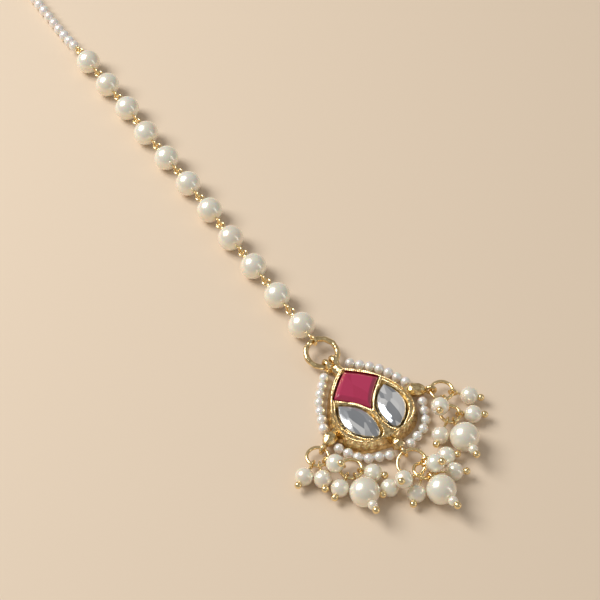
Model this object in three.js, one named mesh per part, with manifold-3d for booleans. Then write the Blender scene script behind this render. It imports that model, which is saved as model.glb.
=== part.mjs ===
// A maang tikka: a kundan-style forehead pendant on a string of pearls, lying on its back.
// Millimetres, +Z up. The origin is in the middle of the pendant's flat back, and +Y runs up the chain.
import * as THREE from 'three';
import { mergeVertices } from 'three/addons/utils/BufferGeometryUtils.js';
import Module from 'manifold-3d';

const wasm = await Module();
wasm.setup();

// ---- driving dimensions ----
const PLATE = 0.65;             // thickness of the back plate under the stones
const RIM_TOP = 3.4;            // height of the setting's rims
const POCKET_GAP = 0.15;        // clearance round each stone in its pocket
const POCKET_FLARE = 0.4;       // how far a pocket's mouth opens past its stone
const STONE_FOOT = PLATE + 0.3; // height of the undersides of the stones
const GIRDLE = 2.9;             // height of the widest line of each stone

const CHAIN_PEARL = 3.0;        // radius of the chain's pearls
const CHAIN_BORE = 0.52;        // radius of the hole through each of them
const CHAIN_PITCH = 10.2;       // spacing of the chain's pearls
const CHAIN_START = 24.7;       // distance of the first pearl up the chain
const CHAIN_LEAN = 1.4;         // degrees that the chain leans to the left of the pendant's axis
const CHAIN_COUNT = 11;
const CHAIN_BASE = -0.55;       // where the chain's line crosses the pendant's X axis
const EYE = 0.85;               // centreline radius of an eye pin's loops
const TOP_EYE = 1.08;           // the same for the loop that holds the top ring
const EYE_WIRE = 0.25;          // radius of the eye pins' wire
const EYE_OVERLAP = 0.9;        // distance between the centres of two linked loops

const DROP_PEARL = 1.95;        // radius of the small drop pearls
const MAIN_PEARL = 3.15;        // radius of the three large drop pearls
const TIP_PEARL = 1.05;         // radius of the seed pearl under each large one
const PIN_BALL = 0.78;          // radius of the ball that ends a head pin
const PIN_WIRE = 0.25;
const DROP_LOOP = 0.84;         // centreline radius of a head pin's loop
const PEARL_SEAT = 0.1;         // how far a seed pearl and a large one press into each other
const BALL_SEAT = 0.7;          // height of a pin's ball above its pearl, in ball radii
const RING_WIRE = 0.38;         // wire radius of the cluster rings

const SEED = 1.1;               // radius of the seed pearls round the frame
const SEED_PITCH = 2.24;
const SEED_HEIGHT = 1.2;
const THREAD = 0.3;             // radius of the wire inside the seed strings

const STRING_BEAD = 1.38;       // radius of the beads at the far end of the chain
const STRING_PITCH = 2.94;
const STRING_COUNT = 9;
const STRING_LINK = 0.88;       // from the last pearl's eye to the string's own loop
const STRING_LEAD = 2.5;        // from that loop to the first bead
const STRING_TAIL = 2.4;        // from the last bead to the string's end loop
const STRING_LOOP_HEIGHT = 2.85;
const STRING_SAG = [2.35, 1.75, 1.45]; // heights of the first beads, before the string rests

const HOOK_WIRE = 0.5;
const HOOK_LINK = 1.0;          // from the string's end loop to the hook's eye
const HOOK_EYE = { radius: 0.9, wire: 0.32 };
const HOOK_SHAPE = [
  { along: 0.8, side: 0, height: 1.3 },
  { along: 3.5, side: 0, height: 0.75 },
  { along: 12.5, side: 0.2, height: 0.6 },
  { along: 15.6, side: 0.9, height: 0.6 },
  { along: 16.6, side: 2.1, height: 0.6 },
  { along: 15.6, side: 3.3, height: 0.6 },
  { along: 12.5, side: 3.9, height: 0.6 },
  { along: 8.0, side: 4.3, height: 0.6 },
];

// The pendant's outline at the rim, right half from the apex down; the left half mirrors it.
const OUTLINE = [
  { x: 0, y: 9.9 },
  { x: 3.75, y: 7.1 },
  { x: 6.1, y: 4.1 },
  { x: 8.05, y: 0.7 },
  { x: 8.9, y: -3.2 },
  { x: 8.1, y: -6.6 },
  { x: 5.7, y: -9.0 },
  { x: 0, y: -10.3 },
];

// How far the setting's outer wall stands outside that outline at each height.
const WALL = [
  { z: 0, out: 0.9 },
  { z: 0.6, out: 0.85 },
  { z: 2.7, out: 0.25 },
  { z: RIM_TOP, out: 0 },
];

// Stones: corners in order round the outline, each side bowed outwards by "bow".
const STONES = {
  pink_stone: {
    corners: [
      { x: 0, y: 8.95, bow: 0.25 },
      { x: 5.7, y: 3.9, bow: -0.35 },
      { x: 0, y: -2.2, bow: -0.35 },
      { x: -5.7, y: 3.75, bow: 0.25 },
    ],
    crown: [{ z: 3.15, scale: 0.97 }, { z: 3.9, scale: 0.74 }],
    sideSteps: 5,
  },
  clear_stone_left: {
    corners: [
      { x: -5.8, y: 1.9, bow: 2.2 },
      { x: -1.4, y: -7.8, bow: 0.5 },
      { x: -3.2, y: -8.8, bow: 2.8 },
    ],
    crown: [{ z: 3.05, scale: 0.97 }, { z: 3.6, scale: 0.6 }],
    sideSteps: 7,
  },
  clear_stone_right: {
    corners: [
      { x: 5.8, y: 1.9, bow: 2.8 },
      { x: 3.2, y: -8.8, bow: 0.5 },
      { x: 1.4, y: -7.8, bow: 2.2 },
    ],
    crown: [{ z: 3.05, scale: 0.97 }, { z: 3.6, scale: 0.6 }],
    sideSteps: 7,
  },
};

// Strings of seed pearls: first bead, a bead near the middle, last bead.
const SEED_STRINGS = [
  { name: 'seed_string_upper_left', from: [-3.7, 10.9], via: [-8.0, 5.9], to: [-10.8, -0.4] },
  { name: 'seed_string_upper_right', from: [3.2, 11.4], via: [8.0, 6.6], to: [10.9, 0.9] },
  { name: 'seed_string_lower_left', from: [-10.7, -6.4], via: [-7.9, -10.9], to: [-2.4, -13.3] },
  { name: 'seed_string_lower_right', from: [11.1, -5.4], via: [8.2, -10.7], to: [3.0, -13.1] },
];

// Jump rings. "tilt" turns the ring, in degrees, about the horizontal line at "heading".
const RINGS = {
  left_ring_upper: { x: -15.8, y: -6.2, z: 1.9, radius: 2.3, tilt: 0, heading: 0 },
  left_ring_lower: { x: -11.5, y: -12.4, z: 2.1, radius: 2.3, tilt: 0, heading: 0 },
  bottom_ring_upper: { x: 0.2, y: -17.6, z: 1.9, radius: 3.0, tilt: 15, heading: -70 },
  bottom_ring_lower: { x: 1.3, y: -20.5, z: 1.9, radius: 2.15, tilt: -15, heading: -70 },
  right_ring_upper: { x: 15.9, y: -5.6, z: 2.1, radius: 2.4, tilt: 0, heading: 0 },
  right_ring_lower: { x: 14.0, y: -11.6, z: 2.1, radius: 2.1, tilt: 0, heading: 0 },
};
const LINK = { height: 1.0, wire: 0.3, slack: 0.2 };
const TOP_RING = { x: -1.1, y: 16.2, z: 2.4, radius: 3.5, wire: 0.62, tilt: 10.7, heading: 0 };

// The bail: two strap legs round the top ring at the ring angles given, on a neck from the setting.
const BAIL_LEGS = [
  { angle: -70, stretch: 1.9 },
  { angle: -101, stretch: 1.4 },
];
const BAIL_LEG = { radius: 1.34, wire: 0.4 };
const BAIL_NECK = { x: -0.1, y: 8.9, z: 1.7, from: 1.25, to: 1.35, short: 1.05, flatten: 0.85 };

// Soldered arms that carry the rings: where each leaves the wall, and the ring angle it reaches.
const LUGS = [
  { ring: 'left_ring_upper', angle: 39, x: -9.0, y: -2.4 },
  { ring: 'bottom_ring_upper', angle: 90, x: 0.4, y: -10.6 },
  { ring: 'right_ring_upper', angle: 128, x: 8.9, y: -0.8 },
];
const LUG_LOOP = { radius: 1.0, wire: 0.42 };
// An arm's radius at each distance from the wall, then at each distance short of its loop.
const LUG_NEAR = [
  { at: 0, radius: 0 },
  { at: 0, radius: 0.75 },
  { at: 1.0, radius: 0.8 },
  { at: 1.9, radius: 1.5 },
];
const LUG_FAR = [
  { short: 1.4, radius: 1.45 },
  { short: 0, radius: 0.6 },
  { short: 0, radius: 0 },
];
const LUG_ROOT = 1.7;           // height of the middle of each arm where it leaves the wall

// Drops: the ring each hangs on, and the centre of its pearl.
const DROPS = [
  { name: 'left_drop_1', ring: 'left_ring_upper', x: -20.8, y: -9.0, z: 2.0 },
  { name: 'left_drop_2', ring: 'left_ring_upper', x: -17.8, y: -11.5, z: 2.0 },
  { name: 'left_drop_3', ring: 'left_ring_upper', x: -14.6, y: -11.1, z: 4.9 },
  { name: 'left_drop_4', ring: 'left_ring_lower', x: -15.9, y: -15.2, z: 2.0 },
  { name: 'left_drop_5', ring: 'left_ring_lower', x: -8.2, y: -15.7, z: 2.2 },
  { name: 'left_main_drop', ring: 'left_ring_lower', x: -12.5, y: -19.2, z: 3.2, main: true },
  { name: 'bottom_drop_1', ring: 'bottom_ring_upper', x: -7.1, y: -20.4, z: 2.0 },
  { name: 'bottom_drop_2', ring: 'bottom_ring_upper', x: -4.7, y: -21.7, z: 5.0 },
  { name: 'bottom_drop_3', ring: 'bottom_ring_lower', x: -3.1, y: -24.4, z: 2.0 },
  { name: 'bottom_drop_4', ring: 'bottom_ring_upper', x: 3.0, y: -21.8, z: 5.1 },
  { name: 'bottom_drop_5', ring: 'bottom_ring_upper', x: 7.3, y: -19.9, z: 2.0 },
  { name: 'bottom_drop_6', ring: 'bottom_ring_lower', x: 6.6, y: -24.0, z: 2.0 },
  { name: 'bottom_main_drop', ring: 'bottom_ring_lower', x: 1.3, y: -26.8, z: 3.2, main: true },
  { name: 'right_drop_1', ring: 'right_ring_upper', x: 20.3, y: -9.7, z: 2.05 },
  { name: 'right_drop_2', ring: 'right_ring_lower', x: 18.2, y: -14.1, z: 2.0 },
  { name: 'right_drop_3', ring: 'right_ring_upper', x: 12.0, y: -10.4, z: 4.9 },
  { name: 'right_drop_4', ring: 'right_ring_lower', x: 9.2, y: -15.0, z: 2.0 },
  { name: 'right_main_drop', ring: 'right_ring_lower', x: 12.8, y: -18.6, z: 3.2, main: true },
];

// Sideways drift of each chain pearl from the straight line of the chain.
const CHAIN_DRIFT = [0, -0.05, -0.1, -0.1, 0.2, 0.15, 0, -0.1, 0.15, 0, -0.15];

// ---- materials ----
const gold = new THREE.MeshStandardMaterial({ color: '#d8b25c', roughness: 0.25, metalness: 1 });
const pearl = new THREE.MeshStandardMaterial({ color: '#f1e9da', roughness: 0.22, metalness: 0 });
const seedPearl = new THREE.MeshStandardMaterial({ color: '#f4efe9', roughness: 0.25, metalness: 0 });
const pinkGlass = new THREE.MeshStandardMaterial({ color: '#b8345e', roughness: 0.08, metalness: 0 });
const clearGlass = new THREE.MeshStandardMaterial({ color: '#d5d8da', roughness: 0.05, metalness: 0.4 });

// ---- helpers ----
const radians = THREE.MathUtils.degToRad;

/** A closed geometry as a manifold solid. */
function solid(geometry) {
  const bare = geometry.index ? geometry.toNonIndexed() : geometry.clone();
  bare.deleteAttribute('normal');
  bare.deleteAttribute('uv');
  const merged = mergeVertices(bare, 1e-4);
  return new wasm.Manifold(new wasm.Mesh({
    numProp: 3,
    vertProperties: new Float32Array(merged.attributes.position.array),
    triVerts: new Uint32Array(merged.index.array),
  }));
}

/** A manifold solid as a three.js geometry. */
function geometryOf(body) {
  const mesh = body.getMesh();
  const geometry = new THREE.BufferGeometry();
  geometry.setAttribute('position', new THREE.BufferAttribute(mesh.vertProperties, 3));
  geometry.setIndex(new THREE.BufferAttribute(mesh.triVerts, 1));
  geometry.computeVertexNormals();
  return geometry;
}

/** Several closed geometries joined into one body. */
function joined(geometries) {
  const bodies = geometries.map(solid);
  return geometryOf(bodies.reduce((whole, next) => whole.add(next)));
}

/** A matrix whose local Z points along "axis" and whose local Y is as near to "side" as it can be. */
function frameAt(origin, axis, side) {
  const z = axis.clone().normalize();
  const x = new THREE.Vector3().crossVectors(side, z).normalize();
  const y = new THREE.Vector3().crossVectors(z, x);
  return new THREE.Matrix4().makeBasis(x, y, z).setPosition(origin);
}

/** A round bar from one point to another. */
function bar(from, to, radiusFrom, radiusTo = radiusFrom, sides = 4) {
  const along = new THREE.Vector3().subVectors(to, from);
  const geometry = new THREE.CylinderGeometry(radiusTo, radiusFrom, along.length(), sides);
  geometry.rotateX(Math.PI / 2);
  const middle = new THREE.Vector3().addVectors(from, to).multiplyScalar(0.5);
  return geometry.applyMatrix4(frameAt(middle, along, new THREE.Vector3(0.3, 0.2, 1)));
}

/** A ball, with its poles up and down. */
function ball(centre, radius, around = 10, down = 7) {
  const geometry = new THREE.SphereGeometry(radius, around, down);
  geometry.rotateX(Math.PI / 2);
  return geometry.translate(centre.x, centre.y, centre.z);
}

/** A wire loop whose plane holds the local X and Z axes. */
function uprightLoop(radius, wire, around = 9) {
  const geometry = new THREE.TorusGeometry(radius, wire, 4, around);
  return geometry.rotateX(Math.PI / 2);
}

/** A wire swept along a curve. */
function wireAlong(curve, radius, steps, sides = 6) {
  const section = new THREE.Shape();
  for (let i = 0; i < sides; i += 1) {
    const angle = (2 * Math.PI * i) / sides;
    const point = [radius * Math.cos(angle), radius * Math.sin(angle)];
    if (i === 0) section.moveTo(...point);
    else section.lineTo(...point);
  }
  return new THREE.ExtrudeGeometry(section, { steps, extrudePath: curve });
}

/** A closed outline moved outwards by "distance", with mitred corners. Points run clockwise. */
function offsetOutline(points, distance) {
  const count = points.length;
  return points.map((point, i) => {
    const before = points[(i + count - 1) % count];
    const after = points[(i + 1) % count];
    const into = new THREE.Vector2().subVectors(point, before).normalize();
    const away = new THREE.Vector2().subVectors(after, point).normalize();
    const normal = new THREE.Vector2(-into.y - away.y, into.x + away.x).normalize();
    const mitre = normal.x * -into.y + normal.y * into.x;
    return new THREE.Vector2().copy(point).addScaledVector(normal, distance / mitre);
  });
}

/** The triangles that close a flat outline, facing up or down, as a list of corner numbers. */
function capFaces(points, facingUp) {
  return THREE.ShapeUtils.triangulateShape(points, []).flatMap(([a, b, c]) => {
    const area = THREE.ShapeUtils.area([points[a], points[b], points[c]]);
    return area > 0 === facingUp ? [a, b, c] : [a, c, b];
  });
}

/** An outline shrunk about its middle by "scale", then moved outwards by "out". */
function resized(outline, { out = 0, scale = 1 }) {
  const middle = outline.reduce((sum, point) => sum.add(point), new THREE.Vector2());
  middle.divideScalar(outline.length);
  return offsetOutline(outline.map((point) => middle.clone().lerp(point, scale)), out);
}

/** A closed solid through a clockwise outline, resized at each height "z" (lowest first). */
function loft(outline, levels) {
  const count = outline.length;
  const positions = [];
  levels.forEach((level) => {
    resized(outline, level).forEach((point) => positions.push(point.x, point.y, level.z));
  });
  const faces = [];
  for (let level = 0; level + 1 < levels.length; level += 1) {
    for (let i = 0; i < count; i += 1) {
      const a = level * count + i;
      const b = level * count + ((i + 1) % count);
      faces.push(a, a + count, b, b, a + count, b + count);
    }
  }
  const last = levels.length - 1;
  const top = capFaces(resized(outline, levels[last]), true).map((corner) => last * count + corner);
  faces.push(...capFaces(resized(outline, levels[0]), false), ...top);
  const geometry = new THREE.BufferGeometry();
  geometry.setAttribute('position', new THREE.Float32BufferAttribute(positions, 3));
  geometry.setIndex(faces);
  return geometry;
}

/** A stone's outline: its corners joined by sides bowed outwards as arcs. */
function stoneOutline({ corners, sideSteps }) {
  const points = [];
  corners.forEach((corner, i) => {
    const next = corners[(i + 1) % corners.length];
    const side = new THREE.Vector2(next.x - corner.x, next.y - corner.y);
    const normal = new THREE.Vector2(-side.y, side.x).normalize();
    for (let step = 0; step < sideSteps; step += 1) {
      const t = step / sideSteps;
      const bow = corner.bow * 4 * t * (1 - t);
      points.push(new THREE.Vector2(corner.x + side.x * t, corner.y + side.y * t)
        .addScaledVector(normal, bow));
    }
  });
  return points;
}

const all = new THREE.Group();

/** Adds one named piece. */
function add(name, geometry, material) {
  const mesh = new THREE.Mesh(geometry, material);
  mesh.name = name;
  all.add(mesh);
  return mesh;
}

// ---- jump rings ----
/** A ring's own frame: local Z is its axis. */
function ringFrame(ring) {
  const line = new THREE.Vector3(Math.cos(radians(ring.heading)), Math.sin(radians(ring.heading)), 0);
  const turn = new THREE.Matrix4().makeRotationAxis(line, radians(ring.tilt));
  return turn.setPosition(ring.x, ring.y, ring.z);
}

/** The point on a ring's wire at "angle" degrees, with the ring's tangent there. */
function ringPoint(ring, angle) {
  const frame = ringFrame(ring);
  const cos = Math.cos(radians(angle));
  const sin = Math.sin(radians(angle));
  const point = new THREE.Vector3(ring.radius * cos, ring.radius * sin, 0).applyMatrix4(frame);
  const tangent = new THREE.Vector3(-sin, cos, 0).transformDirection(frame);
  return { point, tangent };
}

/** The angle on a ring that faces a point. */
function facingAngle(ring, target) {
  const local = target.clone().applyMatrix4(ringFrame(ring).invert());
  return THREE.MathUtils.radToDeg(Math.atan2(local.y, local.x));
}

function ringGeometry(ring, wire, sides, around) {
  return new THREE.TorusGeometry(ring.radius, wire, sides, around).applyMatrix4(ringFrame(ring));
}

// ---- the setting: plate, walls, bail and lugs, soldered into one ----
function pendantOutline() {
  const right = OUTLINE.map(({ x, y }) => new THREE.Vector3(x, y, 0));
  const curve = new THREE.CatmullRomCurve3(right, false, 'centripetal');
  const half = curve.getPoints(18).map(({ x, y }) => new THREE.Vector2(x, y));
  const mirrored = half.slice(1, -1).reverse().map(({ x, y }) => new THREE.Vector2(-x, y));
  return [...half, ...mirrored];
}

function lugPieces({ ring, angle, x, y }) {
  const { point, tangent } = ringPoint(RINGS[ring], angle);
  const root = new THREE.Vector3(x, y, LUG_ROOT);
  const axis = new THREE.Vector3().subVectors(point, root);
  const reach = axis.length() - LUG_LOOP.radius;
  const near = LUG_NEAR.map((step) => new THREE.Vector2(step.radius, step.at));
  const far = LUG_FAR.map((step) => new THREE.Vector2(step.radius, reach - step.short));
  const arm = new THREE.LatheGeometry([...near, ...far], 8);
  arm.rotateX(Math.PI / 2);
  arm.applyMatrix4(frameAt(root, axis, new THREE.Vector3(0, 0, 1)));
  const loop = uprightLoop(LUG_LOOP.radius, LUG_LOOP.wire, 12);
  loop.applyMatrix4(frameAt(point, axis, tangent));
  return [arm, loop];
}

function bailPieces() {
  const legs = BAIL_LEGS.map(({ angle, stretch }) => {
    const hold = ringPoint(TOP_RING, angle).point;
    const leg = new THREE.TorusGeometry(BAIL_LEG.radius, BAIL_LEG.wire, 6, 14);
    leg.rotateY(Math.PI / 2);
    leg.scale(stretch, 1, 1);
    return leg.translate(hold.x, hold.y, hold.z);
  });
  const { point } = ringPoint(TOP_RING, -90);
  const root = new THREE.Vector3(BAIL_NECK.x, BAIL_NECK.y, BAIL_NECK.z);
  const tip = new THREE.Vector3(point.x, point.y - BAIL_NECK.short, point.z);
  const neck = bar(root, tip, BAIL_NECK.from, BAIL_NECK.to, 8);
  neck.scale(1, 1, BAIL_NECK.flatten);
  return [...legs, neck];
}

function buildSetting() {
  const walls = loft(pendantOutline(), WALL);
  let setting = solid(walls);
  [...bailPieces(), ...LUGS.flatMap(lugPieces)].forEach((piece) => {
    setting = setting.add(solid(piece));
  });
  Object.values(STONES).forEach((stone) => {
    setting = setting.subtract(solid(loft(stoneOutline(stone), [
      { z: PLATE, out: POCKET_GAP },
      { z: GIRDLE - 0.1, out: POCKET_GAP },
      { z: RIM_TOP + 0.1, out: POCKET_FLARE },
    ])));
  });
  add('setting', geometryOf(setting), gold);
}

// ---- stones ----
function buildStones() {
  Object.entries(STONES).forEach(([name, stone]) => {
    const levels = [{ z: STONE_FOOT, scale: 0.85 }, { z: GIRDLE, scale: 1 }, ...stone.crown];
    add(name, loft(stoneOutline(stone), levels), name === 'pink_stone' ? pinkGlass : clearGlass);
  });
}

// ---- seed pearls round the frame ----
function buildSeedStrings() {
  SEED_STRINGS.forEach(({ name, from, via, to }) => {
    const points = [from, via, to].map(([x, y]) => new THREE.Vector3(x, y, SEED_HEIGHT));
    const curve = new THREE.CatmullRomCurve3(points, false, 'centripetal');
    const gaps = Math.round(curve.getLength() / SEED_PITCH);
    const pieces = curve.getSpacedPoints(gaps).map((point) => ball(point, SEED, 6, 5));
    pieces.push(wireAlong(curve, THREAD, gaps, 4));
    add(name, joined(pieces), seedPearl);
  });
}

// ---- clusters of drops ----
function buildRings() {
  Object.entries(RINGS).forEach(([name, ring]) => add(name, ringGeometry(ring, RING_WIRE, 5, 16), gold));
  add('top_ring', ringGeometry(TOP_RING, TOP_RING.wire, 6, 20), gold);
}

/** An upright oval link that joins the two rings of a side cluster. */
function buildLink(name, upper, lower) {
  const along = new THREE.Vector3(lower.x - upper.x, lower.y - upper.y, lower.z - upper.z);
  const spare = along.length() - upper.radius - lower.radius;
  const middle = new THREE.Vector3(upper.x, upper.y, upper.z)
    .addScaledVector(along.clone().normalize(), upper.radius + spare / 2);
  const stretch = spare / 2 + RING_WIRE + LINK.slack - (LINK.height - LINK.wire);
  const link = uprightLoop(LINK.height, LINK.wire, 16);
  const position = link.attributes.position;
  for (let i = 0; i < position.count; i += 1) {
    const angle = Math.atan2(position.getX(i), position.getZ(i));
    position.setZ(i, position.getZ(i) + stretch * Math.cos(angle));
  }
  const side = new THREE.Vector3(-along.y, along.x, 0);
  link.applyMatrix4(frameAt(middle, along, side));
  add(name, geometryOf(solid(link)), gold);
}

function buildDrop({ name, ring, x, y, z, main = false }) {
  const centre = new THREE.Vector3(x, y, z);
  const { point, tangent } = ringPoint(RINGS[ring], facingAngle(RINGS[ring], centre));
  const axis = new THREE.Vector3().subVectors(centre, point);
  const reach = axis.length();
  const radius = main ? MAIN_PEARL : DROP_PEARL;
  const spot = (height) => new THREE.Vector3(0, 0, height);
  const end = reach + radius + (main ? 2 * TIP_PEARL - PEARL_SEAT : 0);
  const pieces = [
    uprightLoop(DROP_LOOP, PIN_WIRE),
    bar(spot(DROP_LOOP), spot(end + PIN_BALL / 2), PIN_WIRE),
    ball(spot(reach), radius, main ? 12 : 9, main ? 8 : 6),
    ball(spot(end + PIN_BALL * BALL_SEAT), PIN_BALL, 6, 4),
  ];
  if (main) pieces.push(ball(spot(reach + radius + TIP_PEARL - PEARL_SEAT), TIP_PEARL, 7, 5));
  const geometry = joined(pieces);
  geometry.applyMatrix4(frameAt(point, axis, tangent));
  add(name, geometry, pearl);
}

// ---- the chain ----
const CHAIN_REACH = (CHAIN_PITCH - EYE_OVERLAP) / 2;
const CHAIN_AXIS = new THREE.Vector3(-Math.sin(radians(CHAIN_LEAN)), Math.cos(radians(CHAIN_LEAN)), 0);
const CHAIN_SIDE = new THREE.Vector3(0, 0, 1).cross(CHAIN_AXIS).negate();

function chainPoint(along, drift = 0, height = CHAIN_PEARL) {
  return new THREE.Vector3(CHAIN_BASE, 0, height)
    .addScaledVector(CHAIN_AXIS, along)
    .addScaledVector(CHAIN_SIDE, drift);
}

function pearlGeometry() {
  const steps = 7;
  const edge = Math.asin(CHAIN_BORE / CHAIN_PEARL);
  const profile = [];
  for (let i = 0; i <= steps; i += 1) {
    const angle = edge + ((Math.PI - 2 * edge) * i) / steps;
    profile.push(new THREE.Vector2(CHAIN_PEARL * Math.sin(angle), -CHAIN_PEARL * Math.cos(angle)));
  }
  profile.push(profile[0].clone());
  return new THREE.LatheGeometry(profile, 10).rotateX(Math.PI / 2);
}

/** A straight pin from loop centre to loop centre, with its near loop upright and its far loop flat. */
function eyePin(near, far, nearRadius) {
  const axis = new THREE.Vector3().subVectors(far, near);
  const length = axis.length();
  const nearLoop = uprightLoop(nearRadius, EYE_WIRE);
  const farLoop = uprightLoop(EYE, EYE_WIRE).rotateZ(Math.PI / 2).translate(0, 0, length);
  const shank = bar(new THREE.Vector3(0, 0, nearRadius), new THREE.Vector3(0, 0, length - EYE), EYE_WIRE);
  const geometry = joined([nearLoop, farLoop, shank]);
  const sideways = new THREE.Vector3().crossVectors(axis, new THREE.Vector3(0, 0, 1));
  return geometry.applyMatrix4(frameAt(near, axis, sideways));
}

function buildChain() {
  for (let i = 0; i < CHAIN_COUNT; i += 1) {
    const number = String(i + 1).padStart(2, '0');
    const along = CHAIN_START + i * CHAIN_PITCH;
    const centre = chainPoint(along, CHAIN_DRIFT[i]);
    const bead = pearlGeometry().applyMatrix4(frameAt(centre, CHAIN_AXIS, new THREE.Vector3(0, 0, 1)));
    add(`chain_pearl_${number}`, bead, pearl);
    const first = i === 0;
    const near = first ? ringPoint(TOP_RING, 90).point : chainPoint(along - CHAIN_REACH, CHAIN_DRIFT[i]);
    const far = chainPoint(along + CHAIN_REACH, CHAIN_DRIFT[i]);
    add(`eye_pin_${number}`, eyePin(near, far, first ? TOP_EYE : EYE), gold);
  }
}

// ---- the string of small beads and the hook at the far end ----
const END_START = CHAIN_START + (CHAIN_COUNT - 1) * CHAIN_PITCH + CHAIN_REACH + STRING_LINK;
const FIRST_BEAD = END_START + STRING_LEAD;
const END_LOOP = FIRST_BEAD + (STRING_COUNT - 1) * STRING_PITCH + STRING_TAIL;
const HOOK_START = END_LOOP + HOOK_LINK;
const END_DRIFT = CHAIN_DRIFT[CHAIN_COUNT - 1];
const REST = STRING_BEAD + 0.02; // height of the beads where they lie on the table

function buildEndString() {
  const startLoop = chainPoint(END_START, END_DRIFT, STRING_LOOP_HEIGHT);
  const beads = [];
  for (let i = 0; i < STRING_COUNT; i += 1) {
    beads.push(chainPoint(FIRST_BEAD + i * STRING_PITCH, END_DRIFT, STRING_SAG[i] ?? REST));
  }
  const endLoop = chainPoint(END_LOOP, END_DRIFT, REST);
  const route = new THREE.CatmullRomCurve3([startLoop, ...beads, endLoop], false, 'centripetal');
  const near = uprightLoop(EYE, EYE_WIRE).applyMatrix4(frameAt(startLoop, CHAIN_AXIS, CHAIN_SIDE));
  const flat = new THREE.TorusGeometry(EYE, EYE_WIRE, 5, 10).translate(endLoop.x, endLoop.y, endLoop.z);
  const trimmed = new THREE.CatmullRomCurve3(route.getPoints(60).slice(2, -2), false, 'centripetal');
  const pieces = [near, flat, wireAlong(trimmed, THREAD, 14, 4)];
  beads.forEach((point) => pieces.push(ball(point, STRING_BEAD, 7, 5)));
  add('end_string', joined(pieces), seedPearl);
}

function buildHook() {
  const eye = chainPoint(HOOK_START, END_DRIFT, REST);
  const hookEye = uprightLoop(HOOK_EYE.radius, HOOK_EYE.wire, 12);
  hookEye.applyMatrix4(frameAt(eye, CHAIN_AXIS, CHAIN_SIDE));
  const points = HOOK_SHAPE.map(({ along, side, height }) => (
    chainPoint(HOOK_START + along, END_DRIFT + side, height)
  ));
  const wire = new THREE.CatmullRomCurve3(points, false, 'centripetal');
  add('hook', joined([hookEye, wireAlong(wire, HOOK_WIRE, 28, 7)]), gold);
}

buildSetting();
buildStones();
buildSeedStrings();
buildRings();
buildLink('left_link', RINGS.left_ring_upper, RINGS.left_ring_lower);
buildLink('right_link', RINGS.right_ring_upper, RINGS.right_ring_lower);
DROPS.forEach(buildDrop);
buildChain();
buildEndString();
buildHook();

export default all;
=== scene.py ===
"""Finishes and fine shapes of a maang tikka: a gold forehead pendant on a chain of pearls.

Pieces are modelled in millimetres and set into the frame in metres when they are finished.
"""
from __future__ import annotations

import logging
import math
import random
from dataclasses import dataclass, field
from enum import Enum

import bpy
from mathutils import Matrix, Vector, noise

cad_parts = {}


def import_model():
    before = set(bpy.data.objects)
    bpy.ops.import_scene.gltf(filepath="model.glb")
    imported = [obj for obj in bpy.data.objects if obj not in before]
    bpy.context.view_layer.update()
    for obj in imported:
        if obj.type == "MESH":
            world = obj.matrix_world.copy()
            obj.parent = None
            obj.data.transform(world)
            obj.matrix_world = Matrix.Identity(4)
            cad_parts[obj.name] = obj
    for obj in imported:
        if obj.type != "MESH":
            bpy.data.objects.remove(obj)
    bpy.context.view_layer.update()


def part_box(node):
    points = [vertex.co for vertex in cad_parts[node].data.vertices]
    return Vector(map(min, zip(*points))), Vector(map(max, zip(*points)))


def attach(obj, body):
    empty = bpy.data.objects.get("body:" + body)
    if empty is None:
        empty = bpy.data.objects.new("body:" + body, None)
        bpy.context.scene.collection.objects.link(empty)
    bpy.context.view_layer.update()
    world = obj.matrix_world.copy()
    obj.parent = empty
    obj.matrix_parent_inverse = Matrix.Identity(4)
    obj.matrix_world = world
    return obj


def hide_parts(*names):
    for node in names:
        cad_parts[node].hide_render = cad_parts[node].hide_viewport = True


LOG = logging.getLogger("maang_tikka")
MM = 0.001
UP = Vector((0.0, 0.0, 1.0))
RIM_TOP = 3.4
PLATE = 0.65


# ---- modelling by hand ----
def clear_selection() -> None:
    """Leaves edit mode and deselects everything."""
    if bpy.context.object and bpy.context.object.mode != "OBJECT":
        bpy.ops.object.mode_set(mode="OBJECT")
    bpy.ops.object.select_all(action="DESELECT")


def edit_all(piece: bpy.types.Object) -> None:
    """Enters edit mode on one piece with all of it selected."""
    clear_selection()
    piece.select_set(True)
    bpy.context.view_layer.objects.active = piece
    bpy.ops.object.mode_set(mode="EDIT")
    bpy.ops.mesh.select_all(action="SELECT")


def outward(piece: bpy.types.Object) -> bpy.types.Object:
    """Turns every face of a piece outwards and leaves edit mode."""
    edit_all(piece)
    bpy.ops.mesh.normals_make_consistent(inside=False)
    bpy.ops.object.mode_set(mode="OBJECT")
    return piece


def settle(piece: bpy.types.Object) -> None:
    """Moves a new primitive's place into its mesh."""
    bpy.ops.object.transform_apply(location=True, rotation=True, scale=True)
    piece.select_set(True)


def joined(pieces: list[bpy.types.Object]) -> bpy.types.Object:
    """Joins pieces into the first one."""
    clear_selection()
    for piece in pieces:
        piece.select_set(True)
    bpy.context.view_layer.objects.active = pieces[0]
    bpy.ops.object.join()
    return pieces[0]


def copied(piece: bpy.types.Object, matrix: Matrix) -> bpy.types.Object:
    """A copy of a piece with its own mesh, moved by a matrix."""
    twin = piece.copy()
    twin.data = piece.data.copy()
    twin.data.transform(matrix)
    bpy.context.collection.objects.link(twin)
    return twin


def frame_at(origin: Vector, axis: Vector, side: Vector) -> Matrix:
    """A matrix whose Z runs along an axis.

    Args:
        origin: where the matrix puts its origin.
        axis: direction of its Z.
        side: direction that its Y keeps as near to as it can.

    Returns:
        The matrix.
    """
    along = axis.normalized()
    across = side.cross(along).normalized()
    third = along.cross(across)
    turn = Matrix((across, third, along)).transposed().to_4x4()
    return Matrix.Translation(origin) @ turn


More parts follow.
